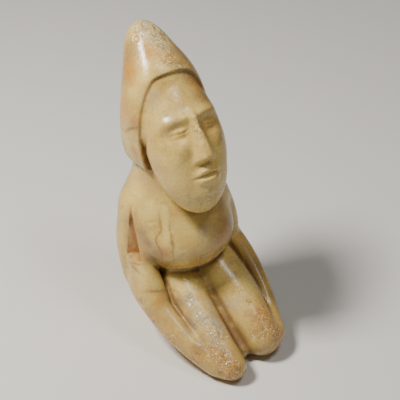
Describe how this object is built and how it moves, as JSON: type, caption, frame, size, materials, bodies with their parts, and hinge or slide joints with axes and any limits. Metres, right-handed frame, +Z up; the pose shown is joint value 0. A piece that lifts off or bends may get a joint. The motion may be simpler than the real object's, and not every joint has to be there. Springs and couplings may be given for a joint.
{
  "type": "human effigy figure",
  "caption": "Kneeling human figure in a tall pointed hood, hands on its knees, carved and polished from one piece of pale honey-coloured stone.",
  "frame": {"origin": "centre of the figure's bounding box in plan, on the plane of its flat underside", "axes": "+Z up through the hood, the figure faces -Y, its own right side is at -X"},
  "size_m": [0.0854, 0.1258, 0.1999],
  "materials": {
    "polished_stone": "polished honey and cream crystalline stone with brown-stained grooves and rough sparkling patches"
  },
  "bodies": {
    "root": {"stone_figure": "polished_stone"}
  },
  "joints": []
}
